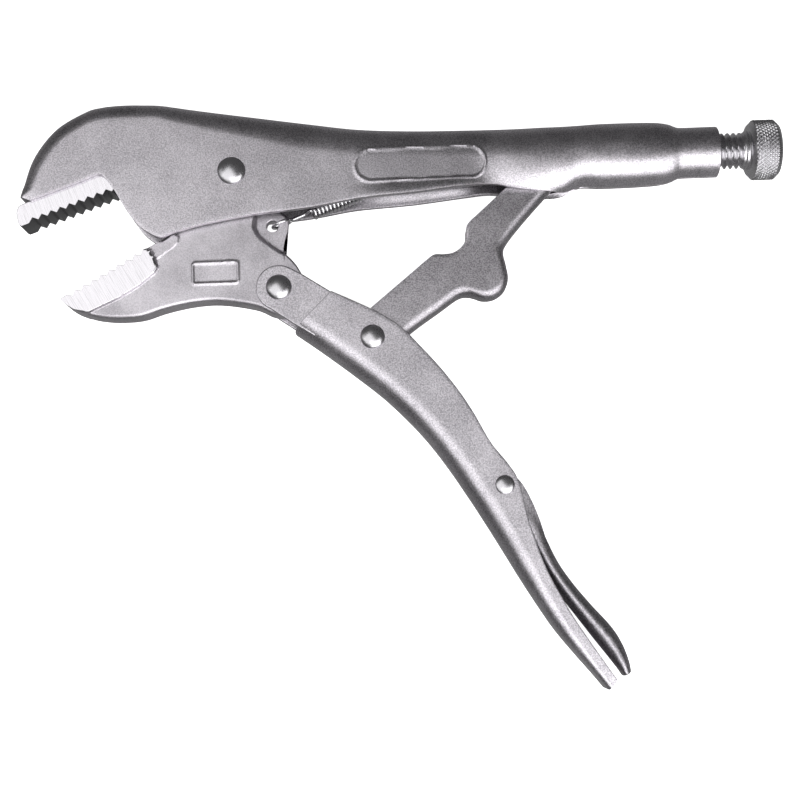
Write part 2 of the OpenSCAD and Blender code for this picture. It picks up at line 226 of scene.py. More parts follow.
@dataclass
class Bench:
    """Puts bench millimetres into the row frame, and makes the Blender objects."""

    pivot: Vector

    def piece(self, name: str, surface: Surface, crease_deg: float = 38.0) -> bpy.types.Object:
        """Makes a closed mesh object, with its normals outwards and its creases sharp.

        Args:
            name: Name of the piece.
            surface: Its surface in bench millimetres.
            crease_deg: Edges sharper than this are shaded as creases.

        Returns:
            The object, standing at the origin.
        """
        mesh = bpy.data.meshes.new(name)
        points = surface.points * MM + np.array(self.pivot)
        mesh.from_pydata(points.tolist(), [], surface.faces)
        work = bmesh.new()
        work.from_mesh(mesh)
        bmesh.ops.remove_doubles(work, verts=work.verts, dist=2e-6)
        bmesh.ops.dissolve_degenerate(work, edges=work.edges, dist=1e-6)
        bmesh.ops.recalc_face_normals(work, faces=work.faces)
        work.to_mesh(mesh)
        work.free()
        mesh.polygons.foreach_set("use_smooth", [True] * len(mesh.polygons))
        mesh.set_sharp_from_angle(angle=math.radians(crease_deg))
        mesh.update()
        thing = bpy.data.objects.new(name, mesh)
        bpy.context.scene.collection.objects.link(thing)
        return thing

    def at(self, x: float, y: float, z: float = 0.0) -> tuple[float, float, float]:
        """A bench point as row metres."""
        return tuple(self.pivot + Vector((x, y, z)) * MM)


def grid_normals(grid: Array) -> Array:
    """Unit normals of a grid of points, from the cross product of its two directions."""
    return unit(np.cross(np.gradient(grid, axis=1), np.gradient(grid, axis=0)))


def sheet_shell(mid: Array, thickness: float, edge: float = 0.45, relief: Array | None = None,
                edge_steps: int = 5) -> Surface:
    """Closed sheet of even thickness around an open middle surface, with eased cut edges.

    Each ring runs over the outer face, round one edge, back over the inner face and round the
    other edge. Past each end the ring's offset from the middle shrinks to nothing on a squared
    quarter turn, so the end is eased in the same way.

    Args:
        mid: Middle surface, stations by points across by 3, with its normals outwards.
        thickness: Thickness of the sheet.
        edge: How far the eased edge stands past the middle surface's own edge.
        relief: Height added to the outer face at each point of the middle surface.
        edge_steps: Points in a quarter of the eased edge.

    Returns:
        The closed surface.
    """
    normal = grid_normals(mid)
    up = normal * (thickness / 2.0)
    lift = up if relief is None else up + normal * relief[..., None]
    cosine, sine = squircle(edge_steps)

    def rim(at: int, inward: int, flip: float) -> tuple[Array, Array]:
        """Centres and offsets of one eased edge, from one face to the other."""
        out = unit(mid[:, at] - mid[:, inward])[:, None]
        c = np.concatenate([cosine[1:], -cosine[-2:0:-1]])[None, :, None] * flip
        s = np.concatenate([sine[1:], sine[-2:0:-1]])[None, :, None]
        centre = np.repeat(mid[:, at][:, None], c.shape[1], axis=1)
        return centre, up[:, at][:, None] * c + out * edge * s

    right_centre, right = rim(-1, -2, 1.0)
    left_centre, left = rim(0, 1, -1.0)
    centre = np.concatenate([mid, right_centre, mid[:, ::-1], left_centre], axis=1)
    offset = np.concatenate([lift, right, -up[:, ::-1], left], axis=1)

    def end(at: int, inward: int) -> Array:
        """Rings past one end, from the last full ring to the closed line."""
        out = unit(centre[at] - centre[inward])[None]
        falling, rising = cosine[1:, None, None], sine[1:, None, None]
        return centre[at][None] + out * edge * rising + offset[at][None] * falling

    full = centre + offset
    first = full[:1] * (1 - SUPPORT) + full[1:2] * SUPPORT
    last = full[-2:-1] * SUPPORT + full[-1:] * (1 - SUPPORT)
    held = [full[:1], first, full[1:-1], last, full[-1:]]
    rings = np.concatenate([end(0, 1)[::-1], *held, end(-1, -2)])
    return Surface.rings(rings)


def bevelled_plate(outline: Array, low: float, high: float, edge: float, steps: int = 4) -> Surface:
    """Flat plate of any outline with eased edges.

    The side wall is a stack of copies of the outline, each set in along its normals by a quarter
    turn's profile, and a further copy inside each rim keeps the flat face flat.

    Args:
        outline: Closed outline, points by 2, in order round it.
        low: z of the lower face.
        high: z of the upper face.
        edge: Width of the easing.
        steps: Points in the easing.

    Returns:
        The closed surface.
    """
    following = np.roll(outline, -1, axis=0)
    turn = np.sum(outline[:, 0] * following[:, 1] - following[:, 0] * outline[:, 1])
    ring = outline if turn > 0 else outline[::-1]
    before, after = unit(ring - np.roll(ring, 1, axis=0)), unit(np.roll(ring, -1, axis=0) - ring)
    middle = unit(before + after)
    inward = np.stack([-middle[:, 1], middle[:, 0]], axis=1)
    stretch = 1.0 / np.clip(np.sum(inward * np.stack([-after[:, 1], after[:, 0]], axis=1), axis=1), 0.5,
                            1.0)
    inward = inward * stretch[:, None]
    cosine, sine = squircle(steps, 1.0)
    rise = edge * (1 - cosine)
    heights = np.concatenate([[low], low + rise, high - rise[::-1], [high]])
    inset = np.concatenate([[1.35], 1 - sine, 1 - sine[::-1], [1.35]]) * edge
    flat = ring[None] + inward[None] * inset[:, None, None]
    rings = np.concatenate([flat, np.broadcast_to(heights[:, None, None], flat.shape[:2] + (1,))],
                           axis=2)
    surface = Surface.rings(rings)
    m, top = len(ring), (len(rings) - 1) * len(ring)
    surface.faces += [tuple(range(m)), tuple(range(top, top + m))[::-1]]
    return surface


def turned(profile: Array, around: int = 64) -> Surface:
    """Surface of revolution about z.

    Args:
        profile: Rows of radius and z, from the axis to the axis.
        around: Points round the turn.

    Returns:
        The closed surface.
    """
    angle = np.linspace(0.0, 2 * math.pi, around, endpoint=False)
    r, z = profile[:, 0][:, None], profile[:, 1][:, None]
    return Surface.rings(np.stack([r * np.cos(angle), r * np.sin(angle), z + 0 * angle], axis=-1))


def tube(path: Array, radius: float, side: Array, around: int = 10) -> Surface:
    """Round wire along a path.

    Args:
        path: Points of the centre line.
        radius: Radius of the wire.
        side: For each point, a vector that is never along the path.
        around: Points round the wire.

    Returns:
        The wire with domed ends.
    """
    ahead = unit(np.gradient(path, axis=0))
    first = unit(side - np.sum(side * ahead, axis=1, keepdims=True) * ahead)
    second = np.cross(ahead, first)
    angle = np.linspace(0.0, 2 * math.pi, around, endpoint=False)[None, :, None]
    spoke = np.cos(angle) * first[:, None] + np.sin(angle) * second[:, None]
    c, s = squircle(5, 1.0)
    start = path[0] - ahead[0] * radius * s[::-1, None, None] + spoke[0] * radius * c[::-1, None, None]
    end = path[-1] + ahead[-1] * radius * s[:, None, None] + spoke[-1] * radius * c[:, None, None]
    return Surface.rings(np.concatenate([start, (path[:, None] + spoke * radius)[1:-1], end]))


# --- Shader nodes ---------------------------------------------------------------


class Signal:
    """A number carried by a shader socket; arithmetic on it adds Math nodes."""

    def __init__(self, paint: "Paint", socket: bpy.types.NodeSocket) -> None:
        """Wraps a socket of a paint's node tree."""
        self.paint = paint
        self.socket = socket

    def _math(self, operation: str, a: "Signal | float", b: "Signal | float") -> "Signal":
        """A Math node on two values."""
        return self.paint.node("ShaderNodeMath", {"operation": operation}, {0: a, 1: b})

    def __add__(self, other: "Signal | float") -> "Signal":
        """Sum."""
        return self._math("ADD", self, other)

    __radd__ = __add__

    def __sub__(self, other: "Signal | float") -> "Signal":
        """Difference."""
        return self._math("SUBTRACT", self, other)

    def __rsub__(self, other: "Signal | float") -> "Signal":
        """Difference from a number."""
        return self._math("SUBTRACT", other, self)

    def __mul__(self, other: "Signal | float") -> "Signal":
        """Product."""
        return self._math("MULTIPLY", self, other)

    __rmul__ = __mul__

    def above(self, low: float, high: float) -> "Signal":
        """Rises from 0 at low to 1 at high."""
        settings = {"clamp": True, "interpolation_type": "SMOOTHSTEP"}
        return self.paint.node("ShaderNodeMapRange", settings,
                               {0: self, 1: low, 2: high, 3: 0.0, 4: 1.0})


Color = tuple[float, float, float]


class Paint:
    """Builds one material's node tree."""

    def __init__(self, name: str) -> None:
        """Starts an empty material with a shader and an output."""
        self.material = bpy.data.materials.new(name)
        self.material.use_nodes = True
        self.tree = self.material.node_tree
        self.tree.nodes.clear()
        self.shader = self.tree.nodes.new("ShaderNodeBsdfPrincipled")
        out = self.tree.nodes.new("ShaderNodeOutputMaterial")
        self.tree.links.new(self.shader.outputs[0], out.inputs[0])
        self.coords = self.node("ShaderNodeTexCoord", {}, {}, "Object")

    def node(self, kind: str, settings: dict, inputs: dict, output: int | str = 0) -> Signal:
        """Adds a node.

        Args:
            kind: The node's type.
            settings: Its own settings, set first.
            inputs: Values or signals by socket name or number.
            output: Which output to return.

        Returns:
            That output as a signal.
        """
        made = self.tree.nodes.new(kind)
        for key, value in settings.items():
            setattr(made, key, value)
        for key, value in inputs.items():
            self.plug(made.inputs[key], value)
        return Signal(self, made.outputs[output])

    def plug(self, socket: bpy.types.NodeSocket, value: "Signal | float | Sequence[float]") -> None:
        """Sets a socket to a value, or links a signal to it."""
        if isinstance(value, Signal):
            self.tree.links.new(value.socket, socket)
        else:
            socket.default_value = value

    def set(self, **inputs: "Signal | float | Sequence[float]") -> None:
        """Sets the shader's sockets; underscores in the names stand for spaces."""
        for key, value in inputs.items():
            self.plug(self.shader.inputs[key.replace("_", " ")], value)

    def noise(self, size_mm: float, detail: float = 2.0, roughness: float = 0.5,
              at: Signal | None = None) -> Signal:
        """Noise with features of about the given size."""
        inputs = {"Vector": at or self.coords, "Scale": 1.0 / (size_mm * MM), "Detail": detail,
                  "Roughness": roughness}
        return self.node("ShaderNodeTexNoise", {}, inputs)

    def turned_coords(self, degrees: float, stretch: Sequence[float]) -> Signal:
        """Object coordinates turned about z, then stretched along each axis."""
        turn = self.node("ShaderNodeMapping", {"vector_type": "POINT"},
                         {"Vector": self.coords, "Rotation": (0.0, 0.0, math.radians(degrees))})
        return self.node("ShaderNodeMapping", {"vector_type": "POINT"},
                         {"Vector": turn, "Scale": tuple(stretch)})

    def height(self) -> Signal:
        """The z of the point being shaded, in metres."""
        return self.node("ShaderNodeSeparateXYZ", {}, {0: self.coords}, 2)

    def blend(self, factor: Signal | float, a: "Signal | Color", b: "Signal | Color") -> Signal:
        """Mixes two colours."""
        first, second = (c if isinstance(c, Signal) else (*c, 1.0) for c in (a, b))
        return self.node("ShaderNodeMix", {"data_type": "RGBA", "clamp_factor": True},
                         {0: factor, 6: first, 7: second}, 2)

    def bump(self, height: Signal, depth_mm: float, strength: float = 1.0) -> None:
        """Raises the surface by a height signal."""
        self.set(Normal=self.node("ShaderNodeBump", {},
                                  {"Strength": strength, "Distance": depth_mm * MM, "Height": height}))


# --- Finishes -------------------------------------------------------------------


@dataclass(frozen=True)
class BlastedSteel:
    """Shot-blasted and plated steel: a fine sparkling grain over a soft cloudiness."""

    name: str
    light: Color = (0.75, 0.72, 0.76)
    dark: Color = (0.33, 0.315, 0.34)
    roughness: float = 0.36
    grain_mm: float = 0.44
    depth_mm: float = 0.08

    def build(self) -> bpy.types.Material:
        """Makes the material."""
        paint = Paint(self.name)
        grain = paint.noise(self.grain_mm, 3.0, 0.62)
        fleck = paint.noise(self.grain_mm * 2.3, 2.0, 0.5)
        cloud = paint.noise(14.0, 3.0, 0.55)
        tone = grain.above(0.36, 0.64) * 0.72 + cloud.above(0.3, 0.7) * 0.28
        paint.set(Base_Color=paint.blend(tone, self.dark, self.light), Metallic=1.0,
                  Roughness=grain * 0.22 + cloud * 0.08 + (self.roughness - 0.15))
        paint.bump(grain * 0.7 + fleck * 0.3, self.depth_mm, 0.8)
        return paint.material


@dataclass(frozen=True)
class MilledJaw:
    """Forged jaw steel whose two flat sides are milled bright, with fine tool lines across them."""

    name: str
    side_low: float
    side_high: float
    tooth_angle: float
    bright: Color = (0.62, 0.605, 0.63)
    dark: Color = (0.40, 0.385, 0.41)
    teeth: Color = (0.16, 0.16, 0.165)
    tooth_mask: bool = False

    def build(self) -> bpy.types.Material:
        """Makes the material."""
        paint = Paint(self.name)
        z = paint.height()
        milled = z.above(self.side_high - 0.00025, self.side_high - 0.0001)
        milled = milled + (1.0 - z.above(self.side_low + 0.0001, self.side_low + 0.00025))
        grain = paint.noise(0.42, 3.0, 0.62)
        cloud = paint.noise(12.0, 3.0, 0.55)
        lines = paint.noise(1.0, 4.0, 0.6, paint.turned_coords(-self.tooth_angle, (4.5, 0.12, 0.2)))
        tone = grain.above(0.28, 0.72) * 0.62 + cloud.above(0.3, 0.7) * 0.38
        rough_side = self.teeth if self.tooth_mask else BlastedSteel.light
        base = paint.blend(tone, self.teeth if self.tooth_mask else BlastedSteel.dark, rough_side)
        face = paint.blend(lines.above(0.32, 0.58), tuple(c * 0.8 for c in self.bright), self.bright)
        paint.set(Base_Color=paint.blend(milled, base, face), Metallic=1.0,
                  Roughness=milled * (lines * 0.25 + 0.02) + (1.0 - milled) * (grain * 0.25 + 0.28))
        paint.bump(milled * lines * 0.5 + (1.0 - milled) * grain, 0.035, 0.7)
        return paint.material


@dataclass(frozen=True)
class BrightSteel:
    """Smooth plated steel with faint turning marks."""

    name: str
    light: Color = (0.80, 0.79, 0.81)
    dark: Color = (0.62, 0.61, 0.63)
    roughness: float = 0.22
    marks_mm: float = 0.6

    def build(self) -> bpy.types.Material:
        """Makes the material."""
        paint = Paint(self.name)
        marks = paint.noise(self.marks_mm, 3.0, 0.6)
        cloud = paint.noise(5.0, 2.0, 0.5)
        paint.set(Base_Color=paint.blend(marks * 0.4 + cloud * 0.6, self.dark, self.light),
                  Metallic=1.0,
                  Roughness=marks * 0.12 + cloud * 0.1 + (self.roughness - 0.1))
        paint.bump(marks, 0.01, 0.5)
        return paint.material


class Finish(Enum):
    """The record's material slots."""

    SATIN = "satin_plated_steel"
    JAW = "milled_jaw_steel"
    SCREW = "bright_screw_steel"
    WIRE = "spring_wire"
    RIVET = "rivet_steel"


def dress(piece: bpy.types.Object, material: bpy.types.Material, finish: Finish, body: str,
          *nodes: str) -> None:
    """Gives a piece its material, its body and the CAD nodes that it stands for."""
    piece.data.materials.clear()
    piece.data.materials.append(material)
    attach(piece, body)
    if nodes:
        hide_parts(*nodes)
    LOG.info("%s: %d faces on %s", piece.name, len(piece.data.polygons), body)


# --- Pressed sheet ----------------------------------------------------------------


@dataclass
class Channel:
    """A channel pressed from sheet: a spine, two bends and two walls, swept along stations.

    A station is spine x, spine y, edge x, edge y, half width, bend radius, closure, which turns
    the U into a closed ring as it goes from 0 to 1, and squareness of the ring's underside.
    """

    stations: Sequence[Sequence[float]]
    sheet: float
    per_span: int = 10
    flat_steps: int = 3
    bend_steps: int = 9
    wall_steps: int = 12
    seam_half_gap: float = 0.22
    bend_widen: float = 1.0
    bend_share: float = 0.9

    def rows(self) -> Array:
        """The stations, smoothed."""
        return spline(self.stations, self.per_span)

    def middle(self, rows: Array | None = None) -> Array:
        """Middle surface of the sheet.

        Half of a U section is a flat at half the sheet's depth, a quarter of an ellipse as deep as
        the bend and as wide as the section allows, and a straight wall. Half of a closed section
        is half an ellipse with the same number of points, spread by length, and closure mixes the two.

        Returns:
            Grid of stations by points across the section by 3.
        """
        rows = self.rows() if rows is None else rows
        spine, edge = rows[:, 0:2], rows[:, 2:4]
        depth = np.linalg.norm(edge - spine, axis=1)[:, None]
        way = (edge - spine) / depth
        half = rows[:, 4][:, None] - self.sheet / 2
        deep = np.minimum(rows[:, 5][:, None], (depth - self.sheet) * self.bend_share)
        deep = np.maximum(deep, self.sheet * 0.55)
        radius = np.minimum(deep, half - 0.2)
        closure = np.clip(rows[:, 6], 0.0, 1.0)[:, None]
        mid_radius = radius - self.sheet / 2
        flat = np.linspace(0.0, 1.0, self.flat_steps)[None]
        turn = np.linspace(0.0, math.pi / 2, self.bend_steps + 1)[None, 1:]
        wall = np.linspace(0.0, 1.0, self.wall_steps + 1)[None, 1:]
        down = np.concatenate([self.sheet / 2 + 0 * (flat * depth),
                               deep - (deep - self.sheet / 2) * np.cos(turn),
                               deep + (depth - deep) * wall], axis=1)
        bend_out = np.minimum(mid_radius * self.bend_widen, half - 0.2)
        out = np.concatenate([flat * (half - bend_out), half - bend_out + bend_out * np.sin(turn),
                              half + 0 * (wall * depth)], axis=1)
        steps = np.hypot(np.diff(down, axis=1), np.diff(out, axis=1))
        share = np.concatenate([0 * depth, np.cumsum(steps, axis=1)], axis=1)
        share = share / share[:, -1:]
        power = np.where(share > 0.5, 1.0 - 0.5 * np.clip(rows[:, 7], 0.0, 1.0)[:, None], 1.0)
        fall, swell = np.cos(math.pi * share), np.maximum(np.sin(math.pi * share), 0.0)
        ring_down = depth / 2 - (depth / 2 - self.sheet / 2) * np.sign(fall) * np.abs(fall) ** power
        ring_out = np.maximum(half * swell**power, self.seam_half_gap * (share > 0.5))
        down = (1 - closure) * down + closure * ring_down
        out = (1 - closure) * out + closure * ring_out
        x = spine[:, :1] + way[:, :1] * down
        y = spine[:, 1:] + way[:, 1:] * down
        right = np.stack([x, y, out], axis=-1)
        left = right[:, :0:-1] * np.array([1.0, 1.0, -1.0])
        grid = np.concatenate([left, right], axis=1)
        centre = grid.shape[1] // 2
        facing = grid_normals(grid)[:, centre, :2]
        outward = np.mean(np.sum(facing * -way, axis=1)) > 0
        return grid if outward else grid[:, ::-1]


SHEET = 2.1
CHANNEL_HALF = 8.5
BEND = 6.2


def row(spine: tuple[float, float], edge: tuple[float, float], half: float = CHANNEL_HALF,
        bend: float = BEND, closure: float = 0.0, square: float = 0.0) -> tuple[float, ...]:
    """A station of a channel."""
    return (*spine, *edge, half, bend, closure, square)


@dataclass
class FixedHandle:
    """The fixed handle: a channel that closes into a rounded tail and a round tube."""

    bench: Bench
    screw_y: float = 2.8
    tube_radius: float = 8.3
    tail_half: float = 9.6
    panel_centre: tuple[float, float] = (62.0, 0.2)
    panel_half: tuple[float, float] = (21.5, 5.4)
    panel_line: float = 0.55
    panel_rise: float = 0.22
    tongue_at: tuple[float, float] = SPRING_TAB
    tongue_width: float = 5.4
    weld_stations: tuple[float, ...] = (113.5, 119.0, 126.0, 133.0, 139.5, 143.5)
    weld_radius: float = 0.95

    def tail_row(self, x: float, radius: float, half: float, closure: float,
                 square: float = 0.0) -> tuple[float, ...]:
        """A station of the closed tail, centred on the screw's axis."""
        return (x, self.screw_y + radius, x, self.screw_y - radius - 0.3, half, half - 0.5, closure,
                square)

    def stations(self) -> list[tuple[float, ...]]:
        """Stations from the nose over the jaw to the open end of the tube."""
        half, tube, tail = CHANNEL_HALF, self.tube_radius, self.tube_radius + 2.3
        return [
            row((-69.3, -5.6), (-66.2, -6.9), half - 0.3, 2.6),
            row((-68.4, -0.9), (-62.9, -5.7), half, 4.5),
            row((-65, 9), (-56.7, -3.5)), row((-57.7, 17.9), (-49.5, -1.0)),
            row((-48, 23.4), (-43.6, 1.0)), row((-42.9, 24.7), (-40.6, -1.4)),
            row((-38.5, 25.1), (-38.0, -5.4)), row((-34, 25.2), (-34.3, -12.0)),
            row((-29, 25.0), (-30, -17.4)), row((-24, 24.7), (-24.2, -20.9)),
            row((-18, 23.9), (-19.5, -19.6), half, 7), row((-8, 22.2), (-10, -17.2), half, 8),
            row((8, 19.6), (6.4, -14.6), half, 9.5), row((26, 16.7), (25, -12.9), half, 11),
            row((42, 14.3), (41, -10.5), half, 10.5), row((60, 13.1), (60, -9.2), half, 10),
            row((77, 12.7), (77, -7.5), half, 10.5),
            row((86, 12.6), (86, -7.3), half + 0.6, 11.5, 0.16),
            row((95, 12.6), (95, -9.0), half + 1.05, 11.5, 0.26),
            row((103, 12.8), (103, -9.6), half + 1.1, 11, 0.42, 0.2),
            row((109, 12.9), (109, -9.8), half + 1.1, 10, 0.7, 0.3),
            self.tail_row(115, tail - 0.3, self.tail_half, 0.95, 0.3),
            self.tail_row(122, tail, self.tail_half, 1, 0.3),
            self.tail_row(132, tail, self.tail_half, 1, 0.3),
            self.tail_row(140, tail - 0.2, self.tail_half - 0.1, 1, 0.2),
            self.tail_row(144.5, tail - 0.8, self.tail_half - 0.5, 1, 0.1),
            self.tail_row(147.5, tube + 0.3, tube + 0.2, 1), self.tail_row(149.5, tube, tube, 1),
            self.tail_row(156, tube, tube, 1), self.tail_row(161.0, tube, tube, 1)]

    def panel_relief(self, mid: Array) -> Array:
        """Height of the blank oblong panel's raised line on the flat walls.

        The line follows the distance from an oblong with round ends, and stands out as a smooth
        ridge of the line's width.
        """
        x, y = mid[..., 0] - self.panel_centre[0], mid[..., 1] - self.panel_centre[1]
        straight = self.panel_half[0] - self.panel_half[1]
        away = np.hypot(np.maximum(np.abs(x) - straight, 0.0), y) - self.panel_half[1]
        ridge = 1.0 - smoothstep(self.panel_line * 0.45, self.panel_line * 1.1, np.abs(away))
        field_drop = smoothstep(0.0, 0.8, -away) * 0.08
        on_wall = np.abs(mid[..., 2]) > CHANNEL_HALF / 2
        return (ridge * self.panel_rise - field_drop) * on_wall

    def flare(self, mid: Array) -> Array:
        """The middle surface with its lower wall edges turned out a little behind the spring."""
        across = np.abs(np.linspace(-1.0, 1.0, mid.shape[1]))[None]
        here = smoothstep(34, 52, mid[..., 0]) * (1 - smoothstep(72, 84, mid[..., 0]))
        push = 0.75 * here * smoothstep(0.80, 1.0, across)
        moved = mid.copy()
        moved[..., 2] += np.sign(mid[..., 2]) * push
        return moved

    def build(self, material: bpy.types.Material, weld: bpy.types.Material) -> None:
        """Makes the handle and the tack welds on its seam."""
        channel = Channel(self.stations(), SHEET, per_span=12, wall_steps=27, bend_steps=22)
        rows = channel.rows()
        fine = spline(rows[(rows[:, 0] > 38) & (rows[:, 0] < 86)], 3)
        rows = np.concatenate([rows[rows[:, 0] <= 38], fine, rows[rows[:, 0] >= 86]])
        mid = self.flare(channel.middle(rows))
        shell = sheet_shell(mid, SHEET, 0.35, self.panel_relief(mid))
        x, y = self.tongue_at
        half = self.tongue_width / 2
        hook = resample(np.array([[x - half, 11.5], [x - half, y], [x - half, y - half], [x, y - half],
                                  [x + half, y - half], [x + half, y], [x + half, 11.5]]), 40)
        tongue = bevelled_plate(hook, -SHEET / 2, SHEET / 2, 0.25)
        handle = self.bench.piece("fixed_handle_shell", shell + tongue)
        dress(handle, material, Finish.SATIN, "fixed_handle", "upper_handle")
        self.build_welds(weld, rows)

    def build_welds(self, weld: bpy.types.Material, rows: Array) -> None:
        """Small domed spots of weld along the seam under the tail."""
        dome_cos, dome_sin = squircle(7, 1.0)
        profile = np.stack([np.concatenate([dome_sin, [0.0]]), np.concatenate([dome_cos, [-0.6]])],
                           axis=1)
        spot = turned(profile * self.weld_radius, 20)
        spots = Surface(np.zeros((0, 3)))
        for i, x in enumerate(self.weld_stations):
            edge_y = np.interp(x, rows[rows[:, 0] > 90][:, 0], rows[rows[:, 0] > 90][:, 3])
            size = 1.0 - 0.18 * (i % 2)
            p = spot.points * np.array([1.5, 1.0, 0.5]) * size
            placed = np.stack([x + p[:, 0], edge_y + 0.35 - p[:, 2], p[:, 1]], axis=1)
            spots = spots + Surface(placed, spot.faces)
        dress(self.bench.piece("seam_welds", spots), weld, Finish.SATIN, "fixed_handle")


@dataclass
class MovingHandle:
    """The moving handle: a channel that runs out to a shallow trough, with two ears in front."""

    bench: Bench
    pivot: tuple[float, float] = HANDLE_PIVOT
    ear_radius: float = 7.4
    ear_inner: float = 5.3

    def stations(self) -> list[tuple[float, ...]]:
        """Stations from the fold behind the ears to the tip."""
        half = CHANNEL_HALF
        return [
            row((19, -53.6), (31.4, -41.6)), row((26, -58.8), (38, -44.8)),
            row((33.2, -64.4), (45.2, -48.6)),
            row((40, -69.9), (53.2, -54.1)), row((46.5, -75.4), (59.4, -60.8)),
            row((52.2, -81.0), (65.4, -67.9)),
            row((58.2, -87.6), (71.4, -76.2)), row((63.3, -94.1), (75.9, -83.8)),
            row((68.4, -101.6), (80.6, -92.9)),
            row((72.5, -108.2), (85.8, -99.9)), row((76.2, -114.3), (89, -106.0)),
            row((82.2, -124.7), (91.6, -118.8)),
            row((89.2, -137), (96.0, -132.8), half, 5.2), row((95.5, -147.4), (101, -143.4), half, 5),
            row((99.8, -153.9), (104.5, -149.9), half, 5),
            row((105.2, -160.8), (108.9, -157.0), half - 0.1, 5),
            row((110.9, -167.7), (113.8, -164.6), half - 0.2, 4.4),
            row((114.5, -172.3), (116.9, -169.2), half - 0.4, 3)]

    def ear_outline(self) -> Array:
        """Outline of an ear: most of a circle round the pivot, then straight back past the fold."""
        turn = np.radians(np.linspace(62, 245, 48))
        arc = np.stack([self.pivot[0] + self.ear_radius * np.cos(turn),
                        self.pivot[1] + self.ear_radius * np.sin(turn)], axis=1)
        back = np.array([[19.2, -51.6], [25.5, -55.6], [35.5, -46], [32.4, -42.0], [21.8, -34.9]])
        return np.concatenate([arc, back])

    def build(self, material: bpy.types.Material) -> None:
        """Makes the channel and its ears as one piece."""
        channel = Channel(self.stations(), SHEET, per_span=12, wall_steps=14)
        shell = sheet_shell(channel.middle(), SHEET, 0.4)
        ear = bevelled_plate(self.ear_outline(), self.ear_inner, self.ear_inner + SHEET, 0.35)
        handle = self.bench.piece("moving_handle_shell", shell + ear.mirrored())
        dress(handle, material, Finish.SATIN, "moving_handle", "lower_handle")


@dataclass
class ToggleLink:
    """The folded strut, drawn along its own centre line from the link pivot."""

    bench: Bench
    start: tuple[float, float] = LINK_PIVOT
    finish: tuple[float, float] = (110.5, 2.8)
    half: float = 5.0
    sheet: float = 2.0

    def stations(self) -> list[tuple[float, ...]]:
        """Stations square to the strut: distance along, rounded spine, cut edge."""
        start, finish = np.array(self.start), np.array(self.finish)
        length = float(np.linalg.norm(finish - start))
        ahead = (finish - start) / length
        across = np.array([-ahead[1], ahead[0]])
        profile = [(-7.3, -2.6, 2.6), (-5.6, -4.9, 4.8), (-2.4, -6.3, 6.7), (3, -6.5, 7.6),
                   (12, -6.9, 7.3),
                   (22.7, -8.4, 6.7), (30.5, -9.6, 6.3), (34, -12.2, 5.8), (36.2, -16, 3.8),
                   (39, -18, 1.9),
                   (42.5, -18.3, 1.4), (45.6, -16.6, 2.6), (48, -13.2, 5), (50.5, -9.4, 5.6),
                   (54.5, -7.5, 5.5),
                   (64, -6.2, 5.4), (77, -5.2, 5.2), (length - 3, -5, 5), (length + 1.6, -4.6, 4.6),
                   (length + 4.0, -2.6, 2.6)]
        return [(*(start + a * ahead + s * across), *(start + a * ahead + e * across), self.half, 3.3,
                 0.0, 0.0)
                for a, s, e in profile]

    def build(self, material: bpy.types.Material) -> None:
        """Makes the link."""
        channel = Channel(self.stations(), self.sheet, per_span=8, wall_steps=10)
        shell = sheet_shell(channel.middle(), self.sheet, 0.25)
        dress(self.bench.piece("toggle_strut", shell), material, Finish.SATIN, "link", "toggle_link")


@dataclass
class ReleaseLever:
    """The trough-shaped release lever, drawn along the line of the handle from its own pivot."""

    bench: Bench
    link_pivot: tuple[float, float] = LINK_PIVOT
    pivot: tuple[float, float] = LEVER_PIVOT
    half: float = 6.1
    sheet: float = 1.5

    def stations(self) -> list[tuple[float, ...]]:
        """Stations square to the handle: distance past the pivot, spine, edge, narrowing."""
        pivot = np.array(self.pivot)
        ahead = unit(pivot - np.array(self.link_pivot))
        across = np.array([-ahead[1], ahead[0]])
        profile = [(-11.5, -3.4, 0.8, 0), (-8, -5.0, 2.4, 0), (-3, -5.7, 3.9, 0), (3, -5.9, 4.4, 0),
                   (9, -6.2, 3.2, 0), (15, -6.8, 1.2, 0), (22, -7.7, -1.5, 0), (30, -8.8, -3.6, 0),
                   (38, -9.8, -4.5, 0), (47, -10.4, -4.7, 0), (56, -11, -4.5, 0), (62, -11.3, -5.5, 0),
                   (67, -11.6, -7.3, 0.15), (70.3, -11.9, -9.2, 0.5)]
        return [(*(pivot + a * ahead + s * across), *(pivot + a * ahead + e * across), self.half - n,
                 3.6 if a < 12 else 5.6, 0.55 * min(max((a - 6) / 26, 0.0), 1.0), 0.0)
                for a, s, e, n in profile]

    def build(self, material: bpy.types.Material) -> None:
        """Makes the lever."""
        channel = Channel(self.stations(), self.sheet, per_span=10, wall_steps=6, bend_steps=14,
                          bend_widen=1.4,
                          bend_share=1.25)
        shell = sheet_shell(channel.middle(), self.sheet, 0.3)
        dress(self.bench.piece("release_trough", shell), material, Finish.SATIN, "lever",
              "release_lever")


# --- Jaws -----------------------------------------------------------------------


